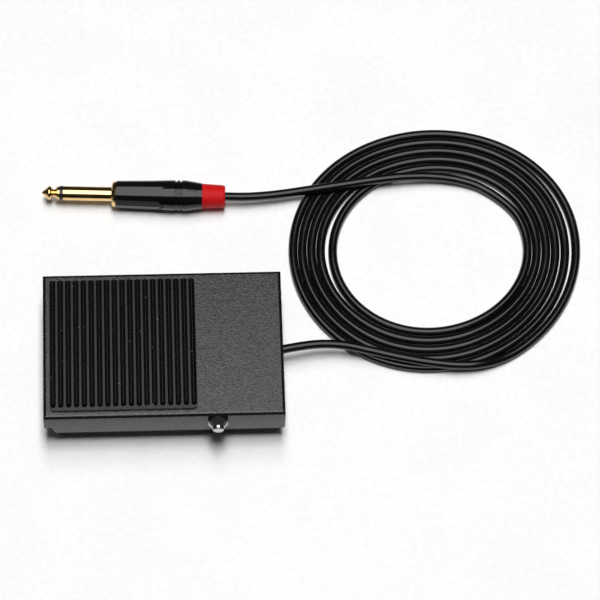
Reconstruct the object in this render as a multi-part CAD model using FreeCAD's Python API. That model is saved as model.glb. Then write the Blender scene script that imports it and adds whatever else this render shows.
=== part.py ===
"""Sustain pedal: a sprung metal treadle on a pressed tray, a snap-action switch inside,
and a coiled cord that ends in a 6.35 mm phone plug.

Millimetres. +X runs from the toe end to the cord end, -Y is the side with the axle nut, +Z is up.
The origin is the centre of the sole's underside, on the surface that the pedal stands on.
"""
import FreeCAD
import Part
import math
import os

Vector = FreeCAD.Vector
X_AXIS = Vector(1, 0, 0)
Y_AXIS = Vector(0, 1, 0)
Z_AXIS = Vector(0, 0, 1)

# ---- Driving dimensions: treadle ----
TREADLE_LENGTH = 102.0
TREADLE_WIDTH = 66.7
TREADLE_TOP = 26.0
SHEET = 1.2
BEND_RADIUS = 1.5
SIDE_FLANGE_BOTTOM = 10.4
END_FLANGE_BOTTOM = 15.7
TOE_STEP_LENGTH = 3.1
TOE_STEP_SLANT = 1.5
CORNER_SLIT = 0.3

# ---- Driving dimensions: pivot ----
AXLE_X = 22.5
AXLE_Z = 20.5
AXLE_RADIUS = 2.5
AXLE_HEAD_RADIUS = 3.4
AXLE_HEAD_HEIGHT = 0.5
AXLE_END_LENGTH = 1.3
AXLE_END_CHAMFER = 0.35
NUT_FLATS = 8.4
NUT_HEIGHT = 3.5
PRESS_ANGLE = 3.5

# ---- Driving dimensions: tread pad ----
RIB_COUNT = 19
RIB_PITCH = 3.295
RIB_HALF_WIDTH = 1.2
RIB_HEIGHT = 1.2
RIDGE_HALF_WIDTH = 0.06
FIRST_RIB_X = -46.78
PAD_SIDE_MARGIN = 0.25
PAD_BASE = 1.3
PAD_NEAR_Y = -30.4
PAD_FAR_Y = 29.8
PAD_NEAR_LEDGE = 1.3
PAD_FAR_LEDGE = 0.3
PAD_CORNER = 2.0

# ---- Driving dimensions: tray and sole ----
SOLE_THICKNESS = 1.5
TRAY_FRONT_X = -44.8
TRAY_REAR_X = 49.0
TRAY_HALF_WIDTH = 31.45
TRAY_FLOOR = SOLE_THICKNESS + SHEET
TRAY_WALL_TOP = 15.0
TRAY_REAR_TOP = 19.0
EAR_TOP = 23.9
TREADLE_UNDERSIDE = TREADLE_TOP - SHEET

# ---- Driving dimensions: spring and stops ----
SPRING_X = -26.0
SPRING_RADIUS = 5.0
SPRING_WIRE = 0.6
SPRING_TURNS = 7.5
SPRING_SEAT_HEIGHT = 1.0

# ---- Driving dimensions: switch ----
SWITCH_Y = 12.0
CASE_FRONT_X = -8.0
CASE_REAR_X = 11.8
CASE_BOTTOM = 8.4
CASE_TOP = 18.6
CASE_BACK_Y = SWITCH_Y - 3.2
CASE_FRONT_Y = SWITCH_Y + 2.4
COVER_Y = SWITCH_Y + 3.2
CAVITY_BOTTOM = 12.4
CAVITY_TOP = 17.6
SWITCH_SCREW_X = (-2.85, 6.65)
SWITCH_SCREW_Z = 10.3
SWITCH_SCREW_RADIUS = 1.1
PLUNGER_X = 5.5
PLUNGER_RADIUS = 1.0
PLUNGER_TOP = 19.75
LEVER_PIVOT_X = 10.6
LEVER_PIVOT_Z = 19.6
LEVER_TIP_X = -10.0
LEVER_TIP_Z = 22.2
LEVER_THICKNESS = 0.4
BLADE_ROOT_X = 10.0
BLADE_Z = 15.2
BLADE_THICKNESS = 0.3
CONTACT_X = -3.0
TERMINAL_BOTTOM = 4.4
TERMINAL_THICKNESS = 0.6
TERMINAL_HALF_WIDTH = 1.6
COM_X = 9.7
NO_X = 1.6
NC_X = -6.7

# ---- Driving dimensions: cord ----
CORD_RADIUS = 1.95
EXIT_Y = 3.0
EXIT_Z = 10.3
EXIT_X = 50.6
CORD_INNER_END_X = 34.0
COIL_CENTRE_X = 119.8
COIL_CENTRE_Y = 51.0
COIL_PITCH = 4.26
COIL_FIRST_ANGLE = -60.0
COIL_LAST_ANGLE = 1830.0
COIL_STEP = 15.0
LEAD_ROUTE = (
    (EXIT_X, EXIT_Y, EXIT_Z),
    (58.0, 4.5, 10.1),
    (67.5, 6.0, 9.2),
    (78.0, 5.9, 7.9),
    (89.0, 3.5, 6.7),
    (101.0, 0.4, 6.2),
    (113.0, -2.2, 6.0),
    (125.0, -3.9, 5.4),
    (136.5, -3.6, 3.9),
)
TAIL_ROUTE = (
    (143.8, 83.1, 2.3),
    (132.7, 86.9, 3.4),
    (120.5, 88.2, 4.7),
    (108.0, 87.8, 5.8),
    (96.0, 86.4, 6.1),
    (85.0, 84.8, 6.1),
    (74.5, 83.2, 6.1),
    (64.0, 81.7, 5.9),
    (54.0, 80.3, 5.8),
    (45.5, 79.3, 6.1),
    (37.0, 78.65, 6.7),
)

# ---- Driving dimensions: plug, measured along its axis from the tip ----
PLUG_REAR = (28.6, 79.0, 6.85)
PLUG_YAW = -2.6
PLUG_LENGTH = 80.6
SLEEVE_RADIUS = 3.175
SLEEVE_START = 9.4
SLEEVE_END = 30.6
COLLAR_END = 32.6
SHELL_END = 70.5
SHELL_FLUTES = 4
FLAT_TILT = 13.0


# ---------------------------------------------------------------- shape helpers
def block(x0, x1, y0, y1, z0, z1):
    return Part.makeBox(x1 - x0, y1 - y0, z1 - z0, Vector(x0, y0, z0))


def rod_x(radius, x0, x1, y, z):
    return Part.makeCylinder(radius, x1 - x0, Vector(x0, y, z), X_AXIS)


def rod_y(radius, y0, y1, x, z):
    return Part.makeCylinder(radius, y1 - y0, Vector(x, y0, z), Y_AXIS)


def rod_z(radius, z0, z1, x, y):
    return Part.makeCylinder(radius, z1 - z0, Vector(x, y, z0), Z_AXIS)


def side_prism(outline, y0, y1):
    """A closed outline of (x, z) points, extruded across the pedal."""
    points = [Vector(x, y0, z) for x, z in outline]
    face = Part.Face(Part.makePolygon(points + points[:1]))
    return face.extrude(Vector(0, y1 - y0, 0))


def turned(profile):
    """A solid of revolution about +X from (distance along the axis, radius) points."""
    points = [Vector(x, r, 0) for x, r in profile]
    face = Part.Face(Part.makePolygon(points + points[:1]))
    return face.revolve(Vector(0, 0, 0), X_AXIS, 360)


def joined(first, others):
    return first.fuse(list(others)).removeSplitter()


def edges_along(shape, direction):
    return [
        e
        for e in shape.Edges
        if isinstance(e.Curve, Part.Line) and abs(e.Curve.Direction.dot(direction)) > 0.999
    ]


def rounded_block(x0, x1, y0, y1, z0, z1, corner):
    """A block with its four upright edges rounded."""
    shape = block(x0, x1, y0, y1, z0, z1)
    return shape.makeFillet(corner, edges_along(shape, Z_AXIS))


def hexagon_y(flats, y0, y1, x, z):
    """A hexagonal prism along Y with two corners pointing along X."""
    reach = flats / math.sqrt(3)
    outline = [
        (x + reach * math.cos(math.radians(60 * k)), z + reach * math.sin(math.radians(60 * k)))
        for k in range(6)
    ]
    return side_prism(outline, y0, y1)


def save(name, shape):
    shape.exportStep("parts/%s.step" % name)


# ---------------------------------------------------------------- cord helpers
def rounded_path(points):
    """Straight runs joined by tangent arcs, each as large as its two runs allow."""
    points = [Vector(*p) for p in points]
    edges = []
    radii = []
    start = points[0]
    for before, corner, after in zip(points, points[1:], points[2:]):
        to_before = before - corner
        to_after = after - corner
        tangent = 0.45 * min(to_before.Length, to_after.Length)
        half_turn = (math.pi - to_before.getAngle(to_after)) / 2
        radius = tangent / math.tan(half_turn)
        to_before.normalize()
        to_after.normalize()
        arc_in = corner + to_before * tangent
        arc_out = corner + to_after * tangent
        inward = (to_before + to_after).normalize()
        middle = corner + inward * (radius / math.cos(half_turn) - radius)
        edges.append(Part.LineSegment(start, arc_in).toShape())
        edges.append(Part.Arc(arc_in, middle, arc_out).toShape())
        radii.append(radius)
        start = arc_out
    edges.append(Part.LineSegment(start, points[-1]).toShape())
    return Part.Wire(edges), radii


def tube(name, points, radius):
    """A round solid along a rounded path; prints how its size and bends come out."""
    path, radii = rounded_path(points)
    direction = Vector(*points[1]) - Vector(*points[0])
    section = Part.Wire(Part.makeCircle(radius, Vector(*points[0]), direction))
    solid = path.makePipeShell([section], True, False)
    ideal = math.pi * radius * radius * path.Length
    print(
        "%s: length %.1f, volume %.4f of section times length, radii %s"
        % (name, path.Length, solid.Volume / ideal, " ".join("%.0f" % r for r in radii))
    )
    return solid


def coil_radius(angle):
    """Distance of the coiled cord's centre line from the coil's centre, inward turn by turn."""
    t = math.radians(angle)
    egg = -0.86 * math.cos(t) + 2.04 * math.sin(t)
    oval = 2.20 * math.cos(2 * t) + 0.93 * math.sin(2 * t)
    ripple = -0.02 * math.cos(3 * t) + 0.37 * math.sin(3 * t)
    return 61.15 - COIL_PITCH * angle / 360 + egg + oval + ripple


def coil_point(angle, radius, z):
    t = math.radians(angle)
    return (COIL_CENTRE_X + radius * math.cos(t), COIL_CENTRE_Y + radius * math.sin(t), z)


def closed_outline(first_angle, offset):
    """A smooth closed curve a fixed distance from the turn that starts at first_angle."""
    steps = int(360 / COIL_STEP)
    points = []
    for k in range(steps):
        angle = first_angle + COIL_STEP * k
        points.append(Vector(*coil_point(angle, coil_radius(angle) + offset, 0)))
    curve = Part.BSplineCurve()
    curve.interpolate(points, PeriodicFlag=True)
    return Part.Wire(curve.toShape())


# ---------------------------------------------------------------- treadle and its parts
def treadle():
    """Sheet-steel cover: top plate, deep side flanges, shallow end flanges, open corners."""
    half_x = TREADLE_LENGTH / 2
    half_y = TREADLE_WIDTH / 2
    outer = block(-half_x, half_x, -half_y, half_y, 0, TREADLE_TOP)
    top_edges = [e for e in outer.Edges if e.BoundBox.ZMin > TREADLE_TOP - 0.1]
    outer = outer.makeFillet(BEND_RADIUS, top_edges)
    inner = block(-half_x + SHEET, half_x - SHEET, -half_y + SHEET, half_y - SHEET, -1, TREADLE_UNDERSIDE)
    inner_edges = [e for e in inner.Edges if e.BoundBox.ZMin > TREADLE_UNDERSIDE - 0.1]
    inner = inner.makeFillet(BEND_RADIUS - SHEET, inner_edges)
    shell = outer.cut(inner)
    return shell.common(treadle_outline(half_x)).cut(treadle_cuts(half_x, half_y))


def treadle_outline(half_x):
    """Side view of the cover: the toe corner steps up, the rear lower corner is round."""
    step_x = -half_x + TOE_STEP_LENGTH
    round_centre = Vector(half_x - BEND_RADIUS, 0, SIDE_FLANGE_BOTTOM + BEND_RADIUS)
    mid = round_centre + Vector(1, 0, -1) * (BEND_RADIUS / math.sqrt(2))
    corners = [
        Vector(half_x, 0, round_centre.z),
        Vector(half_x + 1, 0, round_centre.z),
        Vector(half_x + 1, 0, TREADLE_TOP + 1),
        Vector(-half_x - 1, 0, TREADLE_TOP + 1),
        Vector(-half_x - 1, 0, END_FLANGE_BOTTOM),
        Vector(step_x, 0, END_FLANGE_BOTTOM),
        Vector(step_x + TOE_STEP_SLANT, 0, SIDE_FLANGE_BOTTOM),
        Vector(round_centre.x, 0, SIDE_FLANGE_BOTTOM),
    ]
    arc = Part.Arc(corners[-1], mid, corners[0]).toShape()
    face = Part.Face(Part.Wire(Part.makePolygon(corners).Edges + [arc]))
    prism = face.extrude(Vector(0, 2 * TREADLE_WIDTH, 0))
    prism.translate(Vector(0, -TREADLE_WIDTH, 0))
    return prism


def treadle_cuts(half_x, half_y):
    inside_y = half_y - SHEET
    cuts = [
        block(half_x - 2, half_x + 2, -inside_y, inside_y, 0, END_FLANGE_BOTTOM),
        rod_y(AXLE_RADIUS, -half_y - 1, half_y + 1, AXLE_X, AXLE_Z),
    ]
    for side_x in (-1, 1):
        for side_y in (-1, 1):
            x0, x1 = sorted((side_x * (half_x + 1), side_x * (half_x - SHEET - 0.1)))
            y0, y1 = sorted((side_y * inside_y, side_y * (inside_y - CORNER_SLIT)))
            cuts.append(block(x0, x1, y0, y1, 0, TREADLE_UNDERSIDE - 0.5))
    return Part.makeCompound(cuts)


def tread_pad():
    """Moulded rubber pad: a thin plate with peaked ribs that run across the treadle."""
    x0 = FIRST_RIB_X - RIB_HALF_WIDTH - PAD_SIDE_MARGIN
    x1 = FIRST_RIB_X + RIB_PITCH * (RIB_COUNT - 1) + RIB_HALF_WIDTH + PAD_SIDE_MARGIN
    top = TREADLE_TOP + PAD_BASE
    plate = rounded_block(x0, x1, PAD_NEAR_Y, PAD_FAR_Y, TREADLE_TOP, top, PAD_CORNER)
    near = PAD_NEAR_Y + PAD_NEAR_LEDGE + RIB_HALF_WIDTH
    far = PAD_FAR_Y - PAD_FAR_LEDGE
    ribs = [peaked_rib(FIRST_RIB_X + RIB_PITCH * k, near, far, top) for k in range(RIB_COUNT)]
    return joined(plate, ribs)


def peaked_rib(x, near, far, z):
    """One rib: two sloping flanks that meet in a narrow ridge, and a cone-shaped near end."""
    outline = [
        (x - RIB_HALF_WIDTH, z),
        (x - RIDGE_HALF_WIDTH, z + RIB_HEIGHT),
        (x + RIDGE_HALF_WIDTH, z + RIB_HEIGHT),
        (x + RIB_HALF_WIDTH, z),
    ]
    bar = side_prism(outline, near, far)
    end = Part.makeCone(RIB_HALF_WIDTH, RIDGE_HALF_WIDTH, RIB_HEIGHT, Vector(x, near, z), Z_AXIS)
    return bar.fuse(end)


def pivot_axle():
    """Steel pivot bolt: slotted low head on the far side, chamfered end through the nut."""
    half_y = TREADLE_WIDTH / 2
    end_y = -half_y - NUT_HEIGHT - AXLE_END_LENGTH
    shank = rod_y(AXLE_RADIUS, end_y + AXLE_END_CHAMFER, half_y, AXLE_X, AXLE_Z)
    head = rod_y(AXLE_HEAD_RADIUS, half_y, half_y + AXLE_HEAD_HEIGHT, AXLE_X, AXLE_Z)
    end_radius = AXLE_RADIUS - AXLE_END_CHAMFER
    end_centre = Vector(AXLE_X, end_y, AXLE_Z)
    end = Part.makeCone(end_radius, AXLE_RADIUS, AXLE_END_CHAMFER, end_centre, Y_AXIS)
    slot_z = AXLE_Z - 0.4
    slot = block(AXLE_X - 4, AXLE_X + 4, half_y + 0.1, half_y + 2, slot_z, slot_z + 0.8)
    return joined(shank, [head, end]).cut(slot)


def axle_nut():
    """Plated hexagon nut against the near flange, one corner up, its outer face crowned."""
    half_y = TREADLE_WIDTH / 2
    y0 = -half_y - NUT_HEIGHT
    front = Vector(AXLE_X, y0, AXLE_Z)
    body = hexagon_y(NUT_FLATS, y0, -half_y, AXLE_X, AXLE_Z)
    body.rotate(front, Y_AXIS, 30)
    cone = Part.makeCone(AXLE_RADIUS + 0.3, AXLE_RADIUS + 6.3, 6, front, Y_AXIS)
    return body.common(cone).cut(rod_y(AXLE_RADIUS, y0, -half_y, AXLE_X, AXLE_Z))


def actuator_tab():
    """Steel pad spot-welded under the cover, with a round nose that presses the switch lever."""
    plate = block(LEVER_TIP_X - 5, LEVER_TIP_X + 5, SWITCH_Y - 3, SWITCH_Y + 3, 24.0, TREADLE_UNDERSIDE)
    nose_bottom = LEVER_TIP_Z + LEVER_THICKNESS / 2 + 0.3
    nose = rod_z(1.6, nose_bottom, 24.0, LEVER_TIP_X, SWITCH_Y)
    rim = [e for e in nose.Edges if e.BoundBox.ZMax < nose_bottom + 0.1 and e.Closed]
    return joined(plate, [nose.makeFillet(0.5, rim)])


def spring_cup():
    """Upper spring seat, welded under the cover."""
    rim = rod_z(7.0, TREADLE_UNDERSIDE - SPRING_SEAT_HEIGHT, TREADLE_UNDERSIDE, SPRING_X, 0)
    post = rod_z(3.8, 19.0, TREADLE_UNDERSIDE, SPRING_X, 0)
    return joined(rim, [post])


# ---------------------------------------------------------------- tray and fixed parts
def base_tray():
    """Pressed steel tray with axle ears, a cord hole in its rear wall and screw holes."""
    outer = rounded_block(
        TRAY_FRONT_X, TRAY_REAR_X, -TRAY_HALF_WIDTH, TRAY_HALF_WIDTH, SOLE_THICKNESS, 25.0, 2.0
    )
    floor_edges = [e for e in outer.Edges if e.BoundBox.ZMax < SOLE_THICKNESS + 0.1]
    outer = outer.makeFillet(1.0, floor_edges)
    inside_y = TRAY_HALF_WIDTH - SHEET
    inner = rounded_block(
        TRAY_FRONT_X + SHEET, TRAY_REAR_X - SHEET, -inside_y, inside_y, TRAY_FLOOR, 26.0, 0.8
    )
    outline = [
        (TRAY_FRONT_X - 1, 0),
        (TRAY_REAR_X + 1, 0),
        (TRAY_REAR_X + 1, TRAY_REAR_TOP),
        (31.0, TRAY_REAR_TOP),
        (27.0, EAR_TOP),
        (18.0, EAR_TOP),
        (11.0, TRAY_WALL_TOP),
        (TRAY_FRONT_X - 1, TRAY_WALL_TOP),
    ]
    tray = outer.cut(inner).common(side_prism(outline, -40, 40))
    return tray.cut(Part.makeCompound(tray_holes()))


def tray_holes():
    holes = [
        rod_y(BUSH_BARREL_RADIUS, -40, 40, AXLE_X, AXLE_Z),
        rod_x(GROMMET_NECK_RADIUS, 40, 60, EXIT_Y, EXIT_Z),
    ]
    for x, y in STRAP_SCREWS:
        holes.append(rod_z(STRAP_SCREW_RADIUS, 0, 5, x, y))
    for x, y in BRACKET_SCREWS:
        holes.append(rod_z(BRACKET_SCREW_RADIUS, 0, 5, x, y))
    return holes


def sole_sheet():
    """Non-slip rubber sheet glued under the tray."""
    return rounded_block(
        TRAY_FRONT_X + 0.9, TRAY_REAR_X - 0.9, -30.5, 30.5, 0, SOLE_THICKNESS, 3.0
    )


BUSH_BARREL_RADIUS = 3.6
BUSH_BORE = AXLE_RADIUS + 0.06
BUSH_FLANGE = 0.5


def axle_bush(side):
    """Flanged nylon bush in one tray ear; side is -1 for the near ear, 1 for the far one."""
    inside_y = TRAY_HALF_WIDTH - SHEET
    barrel = sorted((side * inside_y, side * TRAY_HALF_WIDTH))
    flange = sorted((side * TRAY_HALF_WIDTH, side * (TRAY_HALF_WIDTH + BUSH_FLANGE)))
    body = rod_y(BUSH_BARREL_RADIUS, barrel[0], barrel[1], AXLE_X, AXLE_Z)
    collar = rod_y(3.9, flange[0], flange[1], AXLE_X, AXLE_Z)
    bore = rod_y(BUSH_BORE, -40, 40, AXLE_X, AXLE_Z)
    return joined(body, [collar]).cut(bore)


def axle_sleeve():
    """Spacer tube round the axle, between the two tray ears."""
    inside_y = TRAY_HALF_WIDTH - SHEET
    outer = rod_y(3.7, -inside_y, inside_y, AXLE_X, AXLE_Z)
    return outer.cut(rod_y(AXLE_RADIUS + 0.1, -40, 40, AXLE_X, AXLE_Z))


def spring_seat():
    """Lower spring seat, riveted to the tray floor."""
    rim = rod_z(7.0, TRAY_FLOOR, TRAY_FLOOR + SPRING_SEAT_HEIGHT, SPRING_X, 0)
    post = rod_z(3.8, TRAY_FLOOR, 8.0, SPRING_X, 0)
    return joined(rim, [post])


def return_spring():
    """Compression spring between the two seats."""
    bottom = TRAY_FLOOR + SPRING_SEAT_HEIGHT + SPRING_WIRE
    top = TREADLE_UNDERSIDE - SPRING_SEAT_HEIGHT - SPRING_WIRE
    pitch = (top - bottom) / SPRING_TURNS
    helix = Part.makeHelix(pitch, top - bottom, SPRING_RADIUS)
    slope = math.atan(pitch / (2 * math.pi * SPRING_RADIUS))
    tangent = Vector(0, math.cos(slope), math.sin(slope))
    section = Part.Wire(Part.makeCircle(SPRING_WIRE, Vector(SPRING_RADIUS, 0, 0), tangent))
    spring = Part.Wire(helix.Edges).makePipeShell([section], True, True)
    spring.translate(Vector(SPRING_X, 0, bottom))
    return spring


def down_stops():
    """Two rubber buffers that end the downstroke."""
    reach = AXLE_X + 38.0 + 4.0
    top = TREADLE_UNDERSIDE - reach * math.sin(math.radians(PRESS_ANGLE)) - 0.3
    stops = []
    for side in (-1, 1):
        at = Vector(-38.0, side * 17.0, TRAY_FLOOR)
        stops.append(Part.makeCone(5.5, 4.0, top - TRAY_FLOOR, at, Z_AXIS))
    return Part.makeCompound(stops)


def rest_stops():
    """Two rubber buffers at the rear that end the return stroke."""
    stops = []
    for side in (-1, 1):
        foot = rod_z(4.5, TRAY_FLOOR, TRAY_FLOOR + 2.0, 41.5, side * 20.0)
        post = rod_z(3.2, TRAY_FLOOR, TREADLE_UNDERSIDE - 0.3, 41.5, side * 20.0)
        stops.append(joined(foot, [post]))
    return Part.makeCompound(stops)


# ---------------------------------------------------------------- switch
BRACKET_SCREWS = ((-3.0, 3.0), (7.0, 3.0))
BRACKET_SCREW_RADIUS = 1.2


def switch_bracket():
    """Bent steel angle that holds the switch upright."""
    upright = block(-8.5, 12.3, CASE_BACK_Y - SHEET, CASE_BACK_Y, TRAY_FLOOR, 14.0)
    foot = block(-8.5, 12.3, -0.8, CASE_BACK_Y, TRAY_FLOOR, TRAY_FLOOR + SHEET)
    bracket = joined(upright, [foot])
    holes = [rod_z(BRACKET_SCREW_RADIUS, 0, 6, x, y) for x, y in BRACKET_SCREWS]
    for x in SWITCH_SCREW_X:
        holes.append(rod_y(SWITCH_SCREW_RADIUS, 0, 30, x, SWITCH_SCREW_Z))
    return bracket.cut(Part.makeCompound(holes))


def pan_screw(x, y, z_head, z_end, shank_radius, head_radius, head_height):
    """Upright pan-head screw with a cross slot."""
    shank = rod_z(shank_radius, z_end, z_head, x, y)
    head = rod_z(head_radius, z_head, z_head + head_height, x, y)
    rim = [e for e in head.Edges if e.BoundBox.ZMin > z_head + head_height - 0.1 and e.Closed]
    head = head.makeFillet(head_height * 0.5, rim)
    top = z_head + head_height
    slots = [
        block(x - 1.4, x + 1.4, y - 0.25, y + 0.25, top - 0.7, top + 1),
        block(x - 0.25, x + 0.25, y - 1.4, y + 1.4, top - 0.7, top + 1),
    ]
    return joined(shank, [head]).cut(Part.makeCompound(slots))


def bracket_screws():
    head_z = TRAY_FLOOR + SHEET
    screws = [pan_screw(x, y, head_z, 1.6, BRACKET_SCREW_RADIUS, 2.2, 1.5) for x, y in BRACKET_SCREWS]
    return Part.makeCompound(screws)


def terminal_slots():
    slots = []
    for x in (COM_X, NO_X, NC_X):
        slots.append(terminal_leg(x, CASE_BOTTOM - 1, CAVITY_BOTTOM))
    return slots


def terminal_leg(x, z0, z1):
    y0 = SWITCH_Y - TERMINAL_HALF_WIDTH
    return block(x, x + TERMINAL_THICKNESS, y0, y0 + 2 * TERMINAL_HALF_WIDTH, z0, z1)


def switch_case():
    """Moulded switch body: closed floor band, open cavity, plunger hole and lever ears."""
    body = block(CASE_FRONT_X, CASE_REAR_X, CASE_BACK_Y, CASE_FRONT_Y, CASE_BOTTOM, CASE_TOP)
    ears = []
    for y0 in (CASE_BACK_Y, CASE_FRONT_Y - 1.0):
        ears.append(block(9.6, 11.6, y0, y0 + 1.0, CASE_TOP - 0.5, LEVER_PIVOT_Z + 0.9))
    cuts = [
        block(
            CASE_FRONT_X + 1, CASE_REAR_X - 1, CASE_BACK_Y + 1, CASE_FRONT_Y + 1, CAVITY_BOTTOM, CAVITY_TOP
        ),
        rod_z(PLUNGER_RADIUS + 0.05, CAVITY_TOP - 1, CASE_TOP + 1, PLUNGER_X, SWITCH_Y),
        rod_y(0.4, 0, 30, LEVER_PIVOT_X, LEVER_PIVOT_Z),
    ]
    for x in SWITCH_SCREW_X:
        cuts.append(rod_y(SWITCH_SCREW_RADIUS, 0, 30, x, SWITCH_SCREW_Z))
    return joined(body, ears).cut(Part.makeCompound(cuts + terminal_slots()))


def switch_cover():
    plate = block(CASE_FRONT_X, CASE_REAR_X, CASE_FRONT_Y, COVER_Y, CASE_BOTTOM, CASE_TOP)
    holes = [rod_y(SWITCH_SCREW_RADIUS, 0, 30, x, SWITCH_SCREW_Z) for x in SWITCH_SCREW_X]
    return plate.cut(Part.makeCompound(holes))


def terminal_com():
    return terminal_leg(COM_X, TERMINAL_BOTTOM, BLADE_Z - 0.7)


def terminal_no():
    """Normally-open terminal: strip on the cavity floor with a contact rivet."""
    y0 = SWITCH_Y - TERMINAL_HALF_WIDTH
    leg = terminal_leg(NO_X, TERMINAL_BOTTOM, CAVITY_BOTTOM)
    strip = block(
        CONTACT_X - 1.5, NO_X + TERMINAL_THICKNESS, y0, y0 + 3.2, CAVITY_BOTTOM, CAVITY_BOTTOM + 0.3
    )
    rivet = rod_z(0.9, CAVITY_BOTTOM, CAVITY_BOTTOM + 0.55, CONTACT_X, SWITCH_Y)
    return joined(leg, [strip, rivet])


def terminal_nc():
    """Normally-closed terminal: strip over the blade with a contact rivet under it."""
    y0 = SWITCH_Y - TERMINAL_HALF_WIDTH
    strip_z = BLADE_Z + 1.15
    leg = terminal_leg(NC_X, TERMINAL_BOTTOM, strip_z + 0.4)
    strip = block(NC_X, CONTACT_X + 1.2, y0, y0 + 3.2, strip_z, strip_z + 0.4)
    rivet = rod_z(0.9, strip_z - 0.4, strip_z, CONTACT_X, SWITCH_Y)
    return joined(leg, [strip, rivet])


def switch_blade():
    """Moving contact blade with a rolled root and a rivet through its tip."""
    half = BLADE_THICKNESS / 2
    strip = block(
        CONTACT_X - 1.2, BLADE_ROOT_X, SWITCH_Y - 1.4, SWITCH_Y + 1.4, BLADE_Z - half, BLADE_Z + half
    )
    rivet = rod_z(0.8, BLADE_Z - 0.45, BLADE_Z + 0.45, CONTACT_X, SWITCH_Y)
    roll = rod_y(0.35, SWITCH_Y - 1.4, SWITCH_Y + 1.4, BLADE_ROOT_X, BLADE_Z)
    return joined(strip, [rivet, roll])


def switch_plunger():
    """Push pin with a domed top and a collar that keeps it in the case."""
    bottom = BLADE_Z + BLADE_THICKNESS / 2 + 0.3
    pin = rod_z(PLUNGER_RADIUS, bottom, PLUNGER_TOP, PLUNGER_X, SWITCH_Y)
    rim = [e for e in pin.Edges if e.BoundBox.ZMin > PLUNGER_TOP - 0.1 and e.Closed]
    pin = pin.makeFillet(0.6, rim)
    collar = rod_z(1.6, CAVITY_TOP - 1.1, CAVITY_TOP - 0.4, PLUNGER_X, SWITCH_Y)
    return joined(pin, [collar])


def switch_lever():
    """Flat spring-steel lever rolled round its pin at the rear."""
    rise = LEVER_TIP_Z - LEVER_PIVOT_Z
    run = LEVER_PIVOT_X - LEVER_TIP_X
    slope = rise / run
    half = LEVER_THICKNESS / 2
    tip_x = LEVER_TIP_X - 1.5
    tip_z = LEVER_TIP_Z + 1.5 * slope
    outline = [
        (LEVER_PIVOT_X, LEVER_PIVOT_Z - half),
        (LEVER_PIVOT_X, LEVER_PIVOT_Z + half),
        (tip_x, tip_z + half),
        (tip_x, tip_z - half),
    ]
    strip = side_prism(outline, CASE_BACK_Y + 1.3, CASE_FRONT_Y - 1.3)
    barrel = rod_y(0.8, CASE_BACK_Y + 1.3, CASE_FRONT_Y - 1.3, LEVER_PIVOT_X, LEVER_PIVOT_Z)
    bore = rod_y(0.45, 0, 30, LEVER_PIVOT_X, LEVER_PIVOT_Z)
    return joined(strip, [barrel]).cut(bore)


def lever_pin():
    return rod_y(0.4, CASE_BACK_Y, CASE_FRONT_Y, LEVER_PIVOT_X, LEVER_PIVOT_Z)


def switch_screws():
    """Two small screws through cover, case and bracket."""
    screws = []
    for x in SWITCH_SCREW_X:
        shank = rod_y(SWITCH_SCREW_RADIUS, CASE_BACK_Y - 3.4, COVER_Y, x, SWITCH_SCREW_Z)
        head = rod_y(1.9, COVER_Y, COVER_Y + 1.2, x, SWITCH_SCREW_Z)
        slot = block(x - 2, x + 2, COVER_Y + 0.6, COVER_Y + 2, SWITCH_SCREW_Z - 0.25, SWITCH_SCREW_Z + 0.25)
        screws.append(joined(shank, [head]).cut(slot))
    return Part.makeCompound(screws)


def switch_nuts():
    nuts = []
    y1 = CASE_BACK_Y - SHEET
    for x in SWITCH_SCREW_X:
        body = hexagon_y(4.0, y1 - 1.6, y1, x, SWITCH_SCREW_Z)
        nuts.append(body.cut(rod_y(SWITCH_SCREW_RADIUS, 0, 30, x, SWITCH_SCREW_Z)))
    return Part.makeCompound(nuts)


# ---------------------------------------------------------------- cord entry
GROMMET_NECK_RADIUS = 3.4
STRAP_SCREWS = ((40.0, -2.6), (40.0, 8.6))
STRAP_SCREW_RADIUS = 1.25
STRAP_TOP = EXIT_Z + 2.9


def cord_grommet():
    """Rubber grommet snapped into the rear wall."""
    profile = [
        (TRAY_REAR_X - SHEET - 1.2, CORD_RADIUS),
        (TRAY_REAR_X - SHEET - 1.2, 3.9),
        (TRAY_REAR_X - SHEET - 0.6, 4.4),
        (TRAY_REAR_X - SHEET, 4.4),
        (TRAY_REAR_X - SHEET, GROMMET_NECK_RADIUS),
        (TRAY_REAR_X, GROMMET_NECK_RADIUS),
        (TRAY_REAR_X, 4.8),
        (TRAY_REAR_X + 0.9, 4.8),
        (EXIT_X, 4.0),
        (EXIT_X, CORD_RADIUS),
    ]
    grommet = turned(profile)
    grommet.translate(Vector(0, EXIT_Y, EXIT_Z))
    return grommet


def cord_anchor():
    """Moulded block on the tray floor with a groove for the cord."""
    body = block(36.5, 43.5, EXIT_Y - 9, EXIT_Y + 9, TRAY_FLOOR, EXIT_Z)
    cuts = [rod_x(CORD_RADIUS, 30, 50, EXIT_Y, EXIT_Z)]
    for x, y in STRAP_SCREWS:
        cuts.append(rod_z(STRAP_SCREW_RADIUS, 0, 20, x, y))
    return body.cut(Part.makeCompound(cuts))


def cord_strap():
    """Clamping strap over the cord."""
    body = block(37.0, 43.0, EXIT_Y - 9, EXIT_Y + 9, EXIT_Z, STRAP_TOP)
    body = body.makeFillet(1.0, [e for e in body.Edges if e.BoundBox.ZMin > STRAP_TOP - 0.1])
    cuts = [rod_x(CORD_RADIUS, 30, 50, EXIT_Y, EXIT_Z)]
    for x, y in STRAP_SCREWS:
        cuts.append(rod_z(STRAP_SCREW_RADIUS, 0, 20, x, y))
    return body.cut(Part.makeCompound(cuts))


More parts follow.
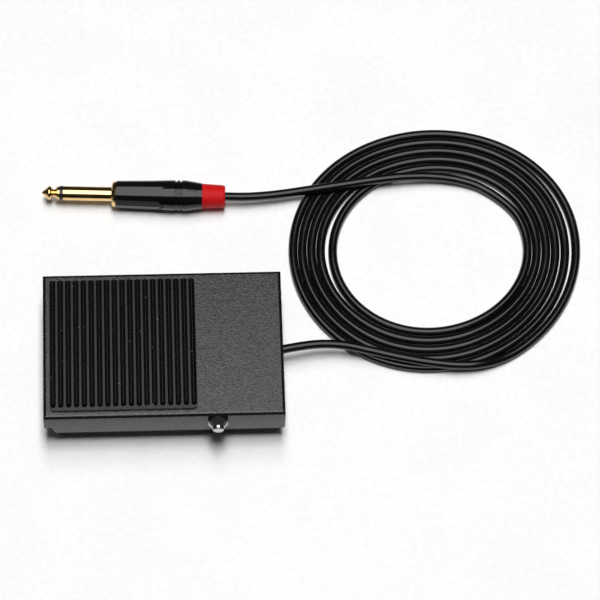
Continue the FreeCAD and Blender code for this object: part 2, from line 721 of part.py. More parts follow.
def strap_screws():
    screws = [pan_screw(x, y, STRAP_TOP, 1.6, STRAP_SCREW_RADIUS, 2.6, 1.7) for x, y in STRAP_SCREWS]
    return Part.makeCompound(screws)


def cord_inner():
    """The cord's jacket inside the tray, from the grommet's mouth to its stripped end."""
    return rod_x(CORD_RADIUS, CORD_INNER_END_X, EXIT_X, EXIT_Y, EXIT_Z)


WIRE_RADIUS = 0.6
WIRE_Z = 5.2
SIGNAL_WIRE = (
    (CORD_INNER_END_X, EXIT_Y - 0.8, EXIT_Z),
    (29.5, 3.2, 9.5),
    (25.0, 6.2, 8.1),
    (20.5, 9.4, 6.6),
    (15.5, 11.4, 5.6),
    (COM_X + TERMINAL_THICKNESS, SWITCH_Y, WIRE_Z),
)
RETURN_WIRE = (
    (CORD_INNER_END_X, EXIT_Y + 0.8, EXIT_Z),
    (29.5, 6.4, 9.3),
    (24.5, 11.2, 7.6),
    (18.5, 15.2, 6.0),
    (12.0, 17.2, 5.0),
    (6.0, 17.2, 4.6),
    (2.6, 15.8, 4.9),
    (NO_X + 0.3, SWITCH_Y + TERMINAL_HALF_WIDTH, WIRE_Z),
)


def solder_joints():
    com = Part.makeSphere(1.0, Vector(COM_X + 0.9, SWITCH_Y, WIRE_Z))
    no = Part.makeSphere(1.0, Vector(NO_X + 0.3, SWITCH_Y + TERMINAL_HALF_WIDTH, WIRE_Z))
    return Part.makeCompound([com, no])


# ---------------------------------------------------------------- cord outside
def cord_lead():
    landing = coil_point(COIL_FIRST_ANGLE, coil_radius(COIL_FIRST_ANGLE), CORD_RADIUS)
    return tube("cord_lead", LEAD_ROUTE + (landing,), CORD_RADIUS)


def cord_tail():
    takeoff = coil_point(COIL_LAST_ANGLE, coil_radius(COIL_LAST_ANGLE), CORD_RADIUS)
    return tube("cord_tail", (takeoff,) + TAIL_ROUTE + (PLUG_REAR,), CORD_RADIUS)


def cord_coil():
    """Flat ring with the outline of the wound cord."""
    outer = closed_outline(COIL_FIRST_ANGLE, CORD_RADIUS)
    inner = closed_outline(COIL_LAST_ANGLE - 360 + COIL_STEP, -CORD_RADIUS)
    face = Part.Face([outer, inner])
    face.validate()
    return face.extrude(Vector(0, 0, 2 * CORD_RADIUS))


# ---------------------------------------------------------------- plug
def place_plug(shape):
    """Move a piece drawn along +X from the tip to where the plug lies."""
    rear = Vector(*PLUG_REAR)
    rotation = FreeCAD.Rotation(Z_AXIS, PLUG_YAW)
    offset = rear - rotation.multVec(Vector(PLUG_LENGTH, 0, 0))
    placed = shape.copy()
    placed.Placement = FreeCAD.Placement(offset, rotation).multiply(shape.Placement)
    return placed


TIP_ROD_RADIUS = 1.1
TIP_ROD_START = 6.0
CORE_RADIUS = 2.0


def plug_tip():
    profile = [
        (0.0, 0.0),
        (0.15, 0.4),
        (2.7, 2.75),
        (3.1, 3.0),
        (3.6, 3.02),
        (4.1, 2.75),
        (5.1, 1.6),
        (5.5, 1.6),
        (6.8, 2.85),
        (7.8, 2.95),
        (7.8, TIP_ROD_RADIUS),
        (TIP_ROD_START, TIP_ROD_RADIUS),
        (TIP_ROD_START, 0.0),
    ]
    return turned(profile)


def plug_tip_rod():
    return rod_x(TIP_ROD_RADIUS, TIP_ROD_START, 38.5, 0, 0)


def plug_insulator():
    """Black ring behind the tip, with a thin tube that lines the sleeve."""
    profile = [
        (7.8, TIP_ROD_RADIUS),
        (7.8, SLEEVE_RADIUS),
        (SLEEVE_START, SLEEVE_RADIUS),
        (SLEEVE_START, CORE_RADIUS),
        (36.0, CORE_RADIUS),
        (36.0, TIP_ROD_RADIUS),
    ]
    return turned(profile)


def plug_sleeve():
    """Gilt sleeve, rounded collar and the threaded neck that the shell screws onto."""
    profile = [
        (SLEEVE_START, CORE_RADIUS),
        (SLEEVE_START, SLEEVE_RADIUS),
        (SLEEVE_END, SLEEVE_RADIUS),
        (SLEEVE_END, 4.0),
        (SLEEVE_END + 0.2, 4.75),
        (SLEEVE_END + 0.5, 5.25),
        (SLEEVE_END + 1.0, 5.62),
        (COLLAR_END - 0.3, 5.82),
        (COLLAR_END, 5.55),
        (COLLAR_END, 4.6),
        (39.0, 4.6),
        (39.0, 3.6),
        (36.0, 3.6),
        (36.0, CORE_RADIUS),
    ]
    return turned(profile)


def plug_core_washer():
    return turned([(36.0, TIP_ROD_RADIUS), (36.0, 3.6), (37.2, 3.6), (37.2, TIP_ROD_RADIUS)])


def plug_lug_tip():
    """Solder tab on the end of the tip rod."""
    tab = block(38.5, 46.5, -1.4, 1.4, -0.3, 0.3)
    boss = rod_x(1.4, 38.5, 39.5, 0, 0)
    return joined(tab, [boss])


def plug_lug_sleeve():
    """Solder tab riveted to the neck's rear end."""
    ring = turned([(39.0, 3.6), (39.0, 4.6), (39.6, 4.6), (39.6, 3.6)])
    tab = block(39.0, 49.0, -1.3, 1.3, -4.15, -3.65)
    return joined(ring, [tab])


def plug_shell():
    """Black barrel: paired flats in front, two ring grooves, oval dimples, tapered rear."""
    profile = [
        (COLLAR_END, 4.65),
        (COLLAR_END, 5.55),
        (COLLAR_END + 0.4, 5.98),
        (48.0, 6.35),
        (56.0, 6.7),
        (58.6, 6.75),
        (58.8, 6.3),
        (59.5, 6.3),
        (59.7, 6.78),
        (60.6, 6.8),
        (60.8, 6.35),
        (61.5, 6.35),
        (61.7, 6.8),
        (63.2, 6.8),
        (66.5, 6.3),
        (SHELL_END, 5.65),
        (SHELL_END, 4.15),
        (54.0, 4.15),
        (52.0, 4.65),
    ]
    cuts = []
    for k in range(SHELL_FLUTES):
        cuts.append(about_axis(flute_cutter(), 360.0 * k / SHELL_FLUTES - 9.3))
    for k in range(3):
        cuts.append(about_axis(dimple_cutter(), 120.0 * k + 15))
    return turned(profile).cut(Part.makeCompound(cuts))


def about_axis(shape, angle):
    turned_shape = shape.copy()
    turned_shape.rotate(Vector(0, 0, 0), X_AXIS, angle)
    return turned_shape


def flute_cutter():
    """Two long flats side by side with an arrow-shaped end, and a fine groove between them."""
    cutters = [block(30.0, 53.4, -0.18, 0.18, 6.08, 8.0)]
    for side in (-1, 1):
        points = [(30.0, -1.42), (54.0, -1.42), (51.2, 1.6), (30.0, 1.6)]
        corners = [Vector(x, side * y, 6.22) for x, y in points]
        face = Part.Face(Part.makePolygon(corners + corners[:1]))
        cutters.append(about_axis(face.extrude(Vector(0, 0, 4)), -side * FLAT_TILT))
    for cutter in cutters:
        cutter.rotate(Vector(52.0, 0, 0), Y_AXIS, -1.4)
    return Part.makeCompound(cutters)


def dimple_cutter():
    """Plain oval recess for the fingertip."""
    body = block(64.0, 67.6, -1.0, 1.0, 0, 3)
    ends = [rod_z(1.0, 0, 3, x, 0) for x in (64.0, 67.6)]
    cutter = joined(body, ends)
    cutter.rotate(Vector(65.8, 0, 0), Y_AXIS, 9.0)
    cutter.translate(Vector(0, 0, 5.85))
    return cutter


def plug_chuck():
    """Slotted collet that grips the cord when the cap is screwed up."""
    collet = turned([(54.5, CORD_RADIUS), (54.5, 3.5), (56.5, 4.1), (66.0, 4.1), (66.0, CORD_RADIUS)])
    slots = [
        block(50, 62, -0.4, 0.4, -6, 6),
        block(50, 62, -6, 6, -0.4, 0.4),
    ]
    return collet.cut(Part.makeCompound(slots))


def plug_bushing():
    """Red screw cap with a soft mouth round the cord."""
    profile = [
        (66.0, CORD_RADIUS),
        (66.0, 4.15),
        (SHELL_END, 4.15),
        (SHELL_END, 5.45),
        (79.8, 4.95),
        (PLUG_LENGTH, 4.5),
        (PLUG_LENGTH, CORD_RADIUS),
    ]
    return turned(profile)


def plug_cord_stub():
    return rod_x(CORD_RADIUS, 51.5, PLUG_LENGTH, 0, 0)


def plug_wires():
    """Two stripped cores from the jacket to the solder tabs."""
    to_tip = Part.makeCylinder(0.6, 7.0, Vector(44.5, 0, 0.9), X_AXIS)
    to_sleeve = Part.makeCylinder(0.6, 4.5, Vector(47.0, 0, -3.05), Vector(1, 0, 0.42))
    return Part.makeCompound([to_tip, to_sleeve])


# ---------------------------------------------------------------- build
def build():
    os.makedirs("parts", exist_ok=True)
    pedal = (
        treadle, tread_pad, pivot_axle, axle_nut, actuator_tab, spring_cup,
        base_tray, sole_sheet, axle_sleeve, spring_seat, return_spring, down_stops, rest_stops,
        switch_bracket, bracket_screws, switch_case, switch_cover, terminal_com, terminal_no,
        terminal_nc, switch_blade, switch_plunger, switch_lever, lever_pin, switch_screws,
        switch_nuts, cord_grommet, cord_anchor, cord_strap, strap_screws, cord_inner,
        solder_joints, cord_lead, cord_tail, cord_coil,
    )
    for make in pedal:
        save(make.__name__, make())
    save("axle_bush_near", axle_bush(-1))
    save("axle_bush_far", axle_bush(1))
    save("wire_signal", tube("wire_signal", SIGNAL_WIRE, WIRE_RADIUS))
    save("wire_return", tube("wire_return", RETURN_WIRE, WIRE_RADIUS))
    plug = (
        plug_tip, plug_tip_rod, plug_insulator, plug_sleeve, plug_core_washer, plug_lug_tip,
        plug_lug_sleeve, plug_shell, plug_chuck, plug_bushing, plug_cord_stub, plug_wires,
    )
    for make in plug:
        save(make.__name__, place_plug(make()))


build()
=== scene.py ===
import math

import bmesh
import bpy
from mathutils import Matrix, Vector


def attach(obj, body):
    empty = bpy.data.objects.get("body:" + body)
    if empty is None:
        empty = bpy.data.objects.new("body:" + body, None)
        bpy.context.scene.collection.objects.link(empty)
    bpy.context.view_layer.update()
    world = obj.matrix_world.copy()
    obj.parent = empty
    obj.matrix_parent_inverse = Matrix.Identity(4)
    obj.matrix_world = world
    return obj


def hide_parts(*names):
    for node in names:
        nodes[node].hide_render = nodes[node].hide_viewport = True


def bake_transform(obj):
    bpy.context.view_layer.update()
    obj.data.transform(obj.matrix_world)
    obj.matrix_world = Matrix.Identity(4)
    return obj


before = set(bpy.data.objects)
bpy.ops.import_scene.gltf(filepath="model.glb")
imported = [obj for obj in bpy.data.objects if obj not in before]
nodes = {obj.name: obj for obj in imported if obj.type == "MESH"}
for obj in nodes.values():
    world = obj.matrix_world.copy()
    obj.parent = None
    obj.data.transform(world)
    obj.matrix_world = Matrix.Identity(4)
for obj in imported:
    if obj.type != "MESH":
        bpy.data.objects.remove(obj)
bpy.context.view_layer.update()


# ------------------------------------------------------------------ camera
# A long lens on a stand looks steeply down on the pedal from the nut side,
# turned and rolled a little.
AIM = Vector((0.0601, 0.0312, 0.0))
CAMERA_DISTANCE = 1.425
CAMERA_ELEVATION = math.radians(65.0)
CAMERA_AZIMUTH = math.radians(-5.78)
CAMERA_ROLL = math.radians(4.06)
SENSOR_WIDTH = 36.0
FOCAL_LENGTH = 195.78
NEAREST_SEEN = 0.05
FURTHEST_SEEN = 50.0

towards_camera = Vector((
    math.sin(CAMERA_AZIMUTH) * math.cos(CAMERA_ELEVATION),
    -math.cos(CAMERA_AZIMUTH) * math.cos(CAMERA_ELEVATION),
    math.sin(CAMERA_ELEVATION),
))
level_right = (-towards_camera).cross(Vector((0, 0, 1))).normalized()
level_up = level_right.cross(-towards_camera)
right = math.cos(CAMERA_ROLL) * level_right + math.sin(CAMERA_ROLL) * level_up
up = math.cos(CAMERA_ROLL) * level_up - math.sin(CAMERA_ROLL) * level_right
camera = bpy.data.objects.new("camera", bpy.data.cameras.new("camera"))
camera.data.sensor_width = SENSOR_WIDTH
camera.data.lens = FOCAL_LENGTH
camera.data.clip_start = NEAREST_SEEN
camera.data.clip_end = FURTHEST_SEEN
turn = Matrix((right, up, towards_camera)).transposed().to_4x4()
camera.matrix_world = Matrix.Translation(AIM + towards_camera * CAMERA_DISTANCE) @ turn
bpy.context.scene.collection.objects.link(camera)
bpy.context.scene.camera = camera


# ------------------------------------------------------------------ cord
# Round two-core cord with a soft black vinyl jacket. It leaves the tray through a grommet,
# lies in a flat coil of just over five turns, and ends in the plug's red cap.
CORD_DIAMETER = 0.0039
CORD_LEAD = (
    (0.0490, 0.0030, 0.0103),
    (0.0506, 0.0030, 0.0103),
    (0.0580, 0.0045, 0.0101),
    (0.0675, 0.0060, 0.0092),
    (0.0780, 0.0059, 0.0079),
    (0.0890, 0.0035, 0.0067),
    (0.1010, 0.0004, 0.0062),
    (0.1130, -0.0022, 0.0060),
    (0.1250, -0.0039, 0.0056),
    (0.1365, -0.0036, 0.0045),
)
CORD_TAIL = (
    (0.1438, 0.0831, 0.0023),
    (0.1327, 0.0869, 0.0034),
    (0.1205, 0.0882, 0.0047),
    (0.1080, 0.0878, 0.0058),
    (0.0960, 0.0864, 0.0061),
    (0.0850, 0.0848, 0.0061),
    (0.0745, 0.0832, 0.0061),
    (0.0640, 0.0817, 0.0059),
    (0.0540, 0.0803, 0.0058),
    (0.0455, 0.0793, 0.0061),
    (0.0370, 0.07865, 0.0067),
    (0.0286, 0.0790, 0.00685),
    (0.0270, 0.07907, 0.00687),
)
COIL_CENTRE = Vector((0.1198, 0.0510))
COIL_FIRST_ANGLE = -60
COIL_LAST_ANGLE = 1830
COIL_STEP = 15
COIL_BOW = 1.0086
# The spiral's first radius, what each turn takes off it, and its shape, in millimetres.
# The shape is given as (cosine, sine) of one, two and three times the angle.
COIL_RADIUS = 61.15
COIL_PITCH = 4.26
COIL_EGG = (-0.86, 2.04)
COIL_OVAL = (2.20, 0.93)
COIL_RIPPLE = (-0.02, 0.37)
# Places where a turn lies looser or tighter: angle and spread in degrees, then metres.
LOOSE_TURNS = (
    (30, 28, 0.00055),
    (360, 30, -0.00040),
    (540, 38, 0.00022),
    (720, 38, -0.00045),
    (900, 38, 0.00044),
    (1080, 38, -0.00030),
    (1260, 38, 0.00066),
    (1440, 38, -0.00015),
    (1605, 30, -0.00050),
    (1752, 30, 0.00025),
    (1848, 28, -0.00020),
)


def coil_point(angle):
    """A point on the wound cord: an egg-shaped spiral, a little looser in places."""
    t = math.radians(angle)
    egg = COIL_EGG[0] * math.cos(t) + COIL_EGG[1] * math.sin(t)
    oval = COIL_OVAL[0] * math.cos(2 * t) + COIL_OVAL[1] * math.sin(2 * t)
    ripple = COIL_RIPPLE[0] * math.cos(3 * t) + COIL_RIPPLE[1] * math.sin(3 * t)
    radius = (COIL_RADIUS - COIL_PITCH * angle / 360 + egg + oval + ripple) / 1000
    for centre, width, amount in LOOSE_TURNS:
        radius += amount * math.exp(-(((angle - centre) / width) ** 2))
    radius *= COIL_BOW
    flat = COIL_CENTRE + radius * Vector((math.cos(t), math.sin(t)))
    return (flat.x, flat.y, CORD_DIAMETER / 2)


FINE_SHARE = 0.6
COARSE_SHARE = 0.4
COARSE_TO_FINE = 0.07
GRAIN_LOW, GRAIN_HIGH = 0.35, 0.65


def surface_grain():
    """Fine unevenness that every finish shares: its colour, its roughness and its height."""
    tree = bpy.data.node_groups.new("surface_grain", "ShaderNodeTree")
    sockets = (
        ("Grain Scale", "NodeSocketFloat", 900.0),
        ("Dark", "NodeSocketColor", (0, 0, 0, 1)),
        ("Light", "NodeSocketColor", (1, 1, 1, 1)),
        ("Smooth", "NodeSocketFloat", 0.3),
        ("Rough", "NodeSocketFloat", 0.5),
    )
    for name, kind, value in sockets:
        tree.interface.new_socket(name, in_out="INPUT", socket_type=kind).default_value = value
    for name, kind in (
        ("Color", "NodeSocketColor"),
        ("Roughness", "NodeSocketFloat"),
        ("Height", "NodeSocketFloat"),
    ):
        tree.interface.new_socket(name, in_out="OUTPUT", socket_type=kind)
    given = tree.nodes.new("NodeGroupInput")
    result = tree.nodes.new("NodeGroupOutput")
    place = tree.nodes.new("ShaderNodeTexCoord")
    fine = tree.nodes.new("ShaderNodeTexNoise")
    fine.inputs["Detail"].default_value = 3.0
    coarse_scale = tree.nodes.new("ShaderNodeMath")
    coarse_scale.operation = "MULTIPLY"
    coarse_scale.inputs[1].default_value = COARSE_TO_FINE
    coarse = tree.nodes.new("ShaderNodeTexNoise")
    coarse.inputs["Detail"].default_value = 2.0
    blend = tree.nodes.new("ShaderNodeMath")
    blend.operation = "MULTIPLY_ADD"
    blend.inputs[1].default_value = FINE_SHARE
    share = tree.nodes.new("ShaderNodeMath")
    share.operation = "MULTIPLY"
    share.inputs[1].default_value = COARSE_SHARE
    spread = tree.nodes.new("ShaderNodeMapRange")
    spread.inputs["From Min"].default_value = GRAIN_LOW
    spread.inputs["From Max"].default_value = GRAIN_HIGH
    tint = tree.nodes.new("ShaderNodeMix")
    tint.data_type = "RGBA"
    gloss = tree.nodes.new("ShaderNodeMix")
    gloss.data_type = "FLOAT"
    link = tree.links.new
    link(place.outputs["Object"], fine.inputs["Vector"])
    link(place.outputs["Object"], coarse.inputs["Vector"])
    link(given.outputs["Grain Scale"], fine.inputs["Scale"])
    link(given.outputs["Grain Scale"], coarse_scale.inputs[0])
    link(coarse_scale.outputs[0], coarse.inputs["Scale"])
    link(coarse.outputs["Fac"], share.inputs[0])
    link(fine.outputs["Fac"], blend.inputs[0])
    link(share.outputs[0], blend.inputs[2])
    link(blend.outputs[0], spread.inputs["Value"])
    link(spread.outputs["Result"], tint.inputs["Factor"])
    link(given.outputs["Dark"], tint.inputs["A"])
    link(given.outputs["Light"], tint.inputs["B"])
    link(spread.outputs["Result"], gloss.inputs["Factor"])
    link(given.outputs["Smooth"], gloss.inputs["A"])
    link(given.outputs["Rough"], gloss.inputs["B"])
    link(tint.outputs["Result"], result.inputs["Color"])
    link(gloss.outputs["Result"], result.inputs["Roughness"])
    link(fine.outputs["Fac"], result.inputs["Height"])
    return tree


def scattered_specks():
    """Sparse round specks, for dust on rubber and for pits in paint."""
    tree = bpy.data.node_groups.new("scattered_specks", "ShaderNodeTree")
    for name, value in (("Speck Scale", 600.0), ("Speck Size", 0.2), ("Share", 0.1)):
        socket = tree.interface.new_socket(name, in_out="INPUT", socket_type="NodeSocketFloat")
        socket.default_value = value
    tree.interface.new_socket("Mask", in_out="OUTPUT", socket_type="NodeSocketFloat")
    given = tree.nodes.new("NodeGroupInput")
    result = tree.nodes.new("NodeGroupOutput")
    place = tree.nodes.new("ShaderNodeTexCoord")
    cells = tree.nodes.new("ShaderNodeTexVoronoi")
    near = tree.nodes.new("ShaderNodeMath")
    near.operation = "LESS_THAN"
    picked = tree.nodes.new("ShaderNodeMath")
    picked.operation = "LESS_THAN"
    split = tree.nodes.new("ShaderNodeSeparateColor")
    both = tree.nodes.new("ShaderNodeMath")
    both.operation = "MULTIPLY"
    link = tree.links.new
    link(place.outputs["Object"], cells.inputs["Vector"])
    link(given.outputs["Speck Scale"], cells.inputs["Scale"])
    link(cells.outputs["Distance"], near.inputs[0])
    link(given.outputs["Speck Size"], near.inputs[1])
    link(cells.outputs["Color"], split.inputs["Color"])
    link(split.outputs["Red"], picked.inputs[0])
    link(given.outputs["Share"], picked.inputs[1])
    link(near.outputs[0], both.inputs[0])
    link(picked.outputs[0], both.inputs[1])
    link(both.outputs[0], result.inputs["Mask"])
    return tree


GRAIN = surface_grain()
SPECKS = scattered_specks()


def finish(
    name, dark, light, smooth, rough, grain_scale, bump, specks=None, mottle=None, **constant
):
    """A finish with grain in its colour, roughness and surface, and sparse specks if asked for.

    A mottled finish also shines unevenly, between the two given levels.
    """
    material = bpy.data.materials.new(name)
    material.use_nodes = True
    tree = material.node_tree
    shader = tree.nodes["Principled BSDF"]
    for socket, value in constant.items():
        shader.inputs[socket.replace("_", " ")].default_value = value
    grain = tree.nodes.new("ShaderNodeGroup")
    grain.node_tree = GRAIN
    grain.inputs["Grain Scale"].default_value = grain_scale
    grain.inputs["Dark"].default_value = (*dark, 1)
    grain.inputs["Light"].default_value = (*light, 1)
    grain.inputs["Smooth"].default_value = smooth
    grain.inputs["Rough"].default_value = rough
    relief = tree.nodes.new("ShaderNodeBump")
    relief.inputs["Strength"].default_value = 1.0
    relief.inputs["Distance"].default_value = bump
    link = tree.links.new
    link(grain.outputs["Height"], relief.inputs["Height"])
    link(relief.outputs["Normal"], shader.inputs["Normal"])
    colour, roughness = grain.outputs["Color"], grain.outputs["Roughness"]
    if specks:
        speck_scale, size, share, speck_colour, speck_roughness = specks
        dots = tree.nodes.new("ShaderNodeGroup")
        dots.node_tree = SPECKS
        dots.inputs["Speck Scale"].default_value = speck_scale
        dots.inputs["Speck Size"].default_value = size
        dots.inputs["Share"].default_value = share
        over = tree.nodes.new("ShaderNodeMix")
        over.data_type = "RGBA"
        over.inputs["B"].default_value = (*speck_colour, 1)
        duller = tree.nodes.new("ShaderNodeMix")
        duller.data_type = "FLOAT"
        duller.inputs["B"].default_value = speck_roughness
        link(dots.outputs["Mask"], over.inputs["Factor"])
        link(dots.outputs["Mask"], duller.inputs["Factor"])
        link(colour, over.inputs["A"])
        link(roughness, duller.inputs["A"])
        colour, roughness = over.outputs["Result"], duller.outputs["Result"]
    if mottle:
        shine = tree.nodes.new("ShaderNodeMapRange")
        shine.inputs["From Min"].default_value = GRAIN_LOW
        shine.inputs["From Max"].default_value = GRAIN_HIGH
        shine.inputs["To Min"].default_value = mottle[0]
        shine.inputs["To Max"].default_value = mottle[1]
        link(grain.outputs["Height"], shine.inputs["Value"])
        link(shine.outputs["Result"], shader.inputs["Specular IOR Level"])
    link(colour, shader.inputs["Base Color"])
    link(roughness, shader.inputs["Roughness"])
    return material


def dress(material, *names):
    """Give CAD pieces their finish."""
    for name in names:
        mesh = nodes[name].data
        mesh.materials.clear()
        mesh.materials.append(material)


cord_vinyl = finish(
    "cord_vinyl", (0.002, 0.002, 0.003), (0.004, 0.004, 0.005), 0.14, 0.20, 700.0, 0.000004, IOR=1.5
)
cord_curve = bpy.data.curves.new("cord", "CURVE")
cord_curve.dimensions = "3D"
cord_curve.bevel_depth = CORD_DIAMETER / 2
cord_curve.bevel_resolution = 8
cord_curve.resolution_u = 8
cord_curve.use_fill_caps = True
coil_turns = tuple(
    coil_point(angle) for angle in range(COIL_FIRST_ANGLE, COIL_LAST_ANGLE + 1, COIL_STEP)
)
route = CORD_LEAD + coil_turns + CORD_TAIL
line = cord_curve.splines.new("NURBS")
line.points.add(len(route) - 1)
for point, position in zip(line.points, route):
    point.co = (*position, 1)
line.order_u = 3
line.use_endpoint_u = True
cord = bpy.data.objects.new("cord", cord_curve)
bpy.context.scene.collection.objects.link(cord)
cord_curve.materials.append(cord_vinyl)
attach(cord, "base")
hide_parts("cord_lead", "cord_coil", "cord_tail")
dress(cord_vinyl, "cord_inner", "plug_cord_stub")


# ------------------------------------------------------------------ plug
# Two-pole phone plug: gilt brass tip and sleeve kept apart by a black ring, a moulded black
# barrel with long flats that screws onto the sleeve's neck, and a red cap that clamps the cord.
gilt = finish(
    "gilt", (0.80, 0.55, 0.22), (0.88, 0.63, 0.30), 0.05, 0.09, 500.0, 0.000002, Metallic=1.0
)
barrel_moulding = finish(
    "barrel_moulding", (0.002, 0.002, 0.003), (0.005, 0.005, 0.006), 0.10, 0.15, 1400.0, 0.000002,
    IOR=1.5,
)
black_moulding = finish(
    "black_moulding", (0.005, 0.005, 0.006), (0.010, 0.010, 0.011), 0.32, 0.44, 1200.0, 0.000008
)
red_cap = finish(
    "red_cap", (0.50, 0.004, 0.005), (0.58, 0.007, 0.008), 0.46, 0.58, 900.0, 0.000008,
    Specular_IOR_Level=0.2,
)
contact_brass = finish(
    "contact_brass", (0.55, 0.40, 0.18), (0.68, 0.52, 0.26), 0.25, 0.38, 800.0, 0.000005,
    Metallic=1.0,
)
white_nylon = finish(
    "white_nylon", (0.62, 0.60, 0.54), (0.72, 0.70, 0.64), 0.40, 0.52, 900.0, 0.000008
)
dress(gilt, "plug_tip", "plug_sleeve")
dress(black_moulding, "plug_insulator", "plug_chuck")
dress(barrel_moulding, "plug_shell")
dress(red_cap, "plug_bushing")
dress(contact_brass, "plug_tip_rod", "plug_lug_tip", "plug_lug_sleeve")
dress(white_nylon, "plug_core_washer", "plug_wires")


# ------------------------------------------------------------------ tray and sole
# Pressed steel tray, painted dull black inside and out. It is the fixed base of the pedal.
# A black rubber sheet is glued under it as the sole.
tray_paint = finish(
    "tray_paint", (0.001, 0.001, 0.001), (0.003, 0.003, 0.003), 0.52, 0.66, 1100.0, 0.000030,
    Specular_IOR_Level=0.15,
)
sole_rubber = finish(
    "sole_rubber", (0.012, 0.012, 0.013), (0.024, 0.024, 0.025), 0.60, 0.78, 1600.0, 0.000030,
    specks=(900.0, 0.14, 0.03, (0.10, 0.10, 0.10), 0.9),
)
dress(tray_paint, "base_tray")
dress(sole_rubber, "sole_sheet")


# ------------------------------------------------------------------ bushes, seats and stops
# White nylon bushes and spring seats, a plated steel spacer tube and rubber buffers.
# The return spring is wound steel wire, drawn from a plain copy of its mesh.
zinc_plate = finish(
    "zinc_plate", (0.50, 0.51, 0.53), (0.62, 0.63, 0.64), 0.26, 0.40, 700.0, 0.000006, Metallic=1.0
)
spring_steel = finish(
    "spring_steel", (0.38, 0.39, 0.41), (0.50, 0.51, 0.53), 0.20, 0.32, 900.0, 0.000004,
    Metallic=1.0,
)
dress(white_nylon, "axle_bush_near", "axle_bush_far", "spring_seat", "spring_cup")
dress(zinc_plate, "axle_sleeve")
dress(sole_rubber, "down_stops", "rest_stops")
spring = bpy.data.objects.new("wound_spring", nodes["return_spring"].data.copy())
spring.data.materials.clear()
spring.data.materials.append(spring_steel)
bpy.context.scene.collection.objects.link(spring)
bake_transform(spring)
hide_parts("return_spring")


# ------------------------------------------------------------------ switch
# Snap-action switch: moulded case, spring-steel lever, red plunger and brass contacts.
# Two screws hold it to a bent, plated steel angle on the tray's floor.
switch_moulding = finish(
    "switch_moulding", (0.030, 0.030, 0.032), (0.045, 0.045, 0.047), 0.36, 0.48, 1200.0, 0.000008
)
red_moulding = finish(
    "red_moulding", (0.40, 0.010, 0.010), (0.52, 0.016, 0.014), 0.34, 0.44, 900.0, 0.000008
)
dress(zinc_plate, "switch_bracket", "bracket_screws", "switch_screws", "switch_nuts")
dress(switch_moulding, "switch_case", "switch_cover")
dress(spring_steel, "switch_lever", "lever_pin")
dress(red_moulding, "switch_plunger", "wire_signal")
dress(contact_brass, "switch_blade", "terminal_com", "terminal_no", "terminal_nc")


# ------------------------------------------------------------------ cord entry
# A rubber grommet lines the hole in the tray's rear wall, and a moulded clamp inside is
# screwed down on the cord. Its two cores are soldered to the switch.
solder = finish(
    "solder", (0.55, 0.55, 0.57), (0.68, 0.68, 0.70), 0.22, 0.36, 900.0, 0.000010, Metallic=1.0
)
dress(sole_rubber, "cord_grommet")
dress(black_moulding, "cord_anchor", "cord_strap")
dress(zinc_plate, "strap_screws")
dress(white_nylon, "wire_return")
dress(solder, "solder_joints")


# ------------------------------------------------------------------ treadle
# Sheet-steel cover folded down into deep side flanges and shallow end flanges, and sprayed
# with a slightly gritty black paint. A plated tab under it presses the switch.
black_paint = finish(
    "black_paint", (0.002, 0.002, 0.002), (0.007, 0.007, 0.008), 0.20, 0.30, 1250.0, 0.000060,
    specks=(520.0, 0.16, 0.05, (0.001, 0.001, 0.001), 0.9), mottle=(0.42, 0.72), IOR=1.58,
)
dress(black_paint, "treadle")
dress(zinc_plate, "actuator_tab")


# ------------------------------------------------------------------ tread pad
# Black rubber pad, moulded in one piece with peaked ribs that run across the cover.
# It is glued on the toe end.
pad_rubber = finish(
    "pad_rubber", (0.001, 0.001, 0.001), (0.002, 0.002, 0.002), 0.22, 0.32, 1500.0, 0.000015,
    specks=(420.0, 0.13, 0.08, (0.14, 0.14, 0.14), 0.8), Specular_IOR_Level=0.42,
)
dress(pad_rubber, "tread_pad")


# ------------------------------------------------------------------ axle and nut
# Nickel-plated steel pivot bolt through both flanges. It has a low slotted head on the far
# side, and a hexagon nut holds it on the near side.
nickel_plate = finish(
    "nickel_plate", (0.66, 0.66, 0.67), (0.76, 0.76, 0.77), 0.06, 0.14, 600.0, 0.000004,
    Metallic=1.0,
)
dress(nickel_plate, "pivot_axle", "axle_nut")


# ------------------------------------------------------------------ floor and light
# White table under large soft lights, overhead and behind. One is seen only in shiny surfaces,
# and two only light the matte ones. Seen in shiny surfaces from more than a few centimetres off,
# the table is painted dark grey: painted shade in its reflections.
FLOOR_HALF = 12.0
# Beyond these distances shiny surfaces see the table painted dark grey: painted reflected shade.
REFLECTED_SHADE_START, REFLECTED_SHADE_END = 0.012, 0.050
REFLECTED_SHADE_GREY = 0.05
LIGHT_X = 0.06
LIGHT_HEIGHT = 3.0
WASH_WIDTH = 0.60
STRENGTH_AS_LIGHT, STRENGTH_AS_BACKDROP = 0.03, 0.95
floor_mesh = bpy.data.meshes.new("floor")
sheet = bmesh.new()
corners = [
    sheet.verts.new((x * FLOOR_HALF, y * FLOOR_HALF, 0.0))
    for x, y in ((-1, -1), (1, -1), (1, 1), (-1, 1))
]
sheet.faces.new(corners)
sheet.to_mesh(floor_mesh)
sheet.free()
floor = bpy.data.objects.new("floor", floor_mesh)
bpy.context.scene.collection.objects.link(floor)
floor_paper = finish(
    "floor_paper", (0.84, 0.84, 0.84), (0.90, 0.90, 0.90), 0.45, 0.60, 400.0, 0.000004
)
paper_tree = floor_paper.node_tree
paper_shader = paper_tree.nodes["Principled BSDF"]
paper_colour = paper_shader.inputs["Base Color"].links[0].from_socket
# Painted shade in reflections: glossy rays that travel far see a dark grey table.
seen_by = paper_tree.nodes.new("ShaderNodeLightPath")
reach = paper_tree.nodes.new("ShaderNodeMapRange")
reach.inputs["From Min"].default_value = REFLECTED_SHADE_START
reach.inputs["From Max"].default_value = REFLECTED_SHADE_END
reflected_shade_share = paper_tree.nodes.new("ShaderNodeMath")
reflected_shade_share.operation = "MULTIPLY"
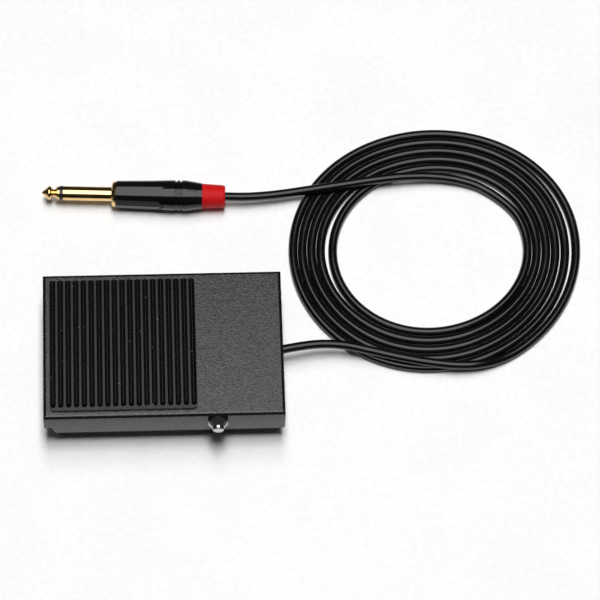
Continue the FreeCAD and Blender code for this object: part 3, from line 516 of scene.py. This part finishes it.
reflected_shade = paper_tree.nodes.new("ShaderNodeMix")
reflected_shade.data_type = "RGBA"
reflected_shade.inputs["B"].default_value = (REFLECTED_SHADE_GREY, REFLECTED_SHADE_GREY, REFLECTED_SHADE_GREY, 1.0)
paper_tree.links.new(seen_by.outputs["Ray Length"], reach.inputs["Value"])
paper_tree.links.new(seen_by.outputs["Is Glossy Ray"], reflected_shade_share.inputs[0])
paper_tree.links.new(reach.outputs["Result"], reflected_shade_share.inputs[1])
paper_tree.links.new(reflected_shade_share.outputs[0], reflected_shade.inputs["Factor"])
paper_tree.links.new(paper_colour, reflected_shade.inputs["A"])
paper_tree.links.new(reflected_shade.outputs["Result"], paper_shader.inputs["Base Color"])
floor_mesh.materials.append(floor_paper)


def softbox(name, centre, width, depth, radiance):
    """A rectangular soft light that faces straight down."""
    data = bpy.data.lights.new(name, "AREA")
    data.shape = "RECTANGLE"
    data.size = width
    data.size_y = depth
    data.energy = radiance * math.pi * width * depth
    lamp = bpy.data.objects.new(name, data)
    lamp.location = centre
    bpy.context.scene.collection.objects.link(lamp)
    return lamp


softbox("gloss_panel", (LIGHT_X, -0.28, LIGHT_HEIGHT), 2.80, 3.34, 2.8).visible_diffuse = False
for name, centre_y, depth, radiance in (
    ("wash_near", 0.0, 1.24, 34.5),
    ("wash_far", 1.26, 1.29, 11.0),
):
    wash = softbox(name, (LIGHT_X, centre_y, LIGHT_HEIGHT), WASH_WIDTH, depth, radiance)
    wash.visible_glossy = False

studio = bpy.data.worlds.new("studio")
studio.use_nodes = True
backdrop = studio.node_tree.nodes["Background"]
backdrop.inputs["Color"].default_value = (1.0, 1.0, 1.0, 1.0)
ray = studio.node_tree.nodes.new("ShaderNodeLightPath")
dim = studio.node_tree.nodes.new("ShaderNodeMapRange")
dim.inputs["To Min"].default_value = STRENGTH_AS_LIGHT
dim.inputs["To Max"].default_value = STRENGTH_AS_BACKDROP
studio.node_tree.links.new(ray.outputs["Is Camera Ray"], dim.inputs["Value"])
studio.node_tree.links.new(dim.outputs["Result"], backdrop.inputs["Strength"])
bpy.context.scene.world = studio
bpy.context.scene.view_settings.view_transform = "Standard"
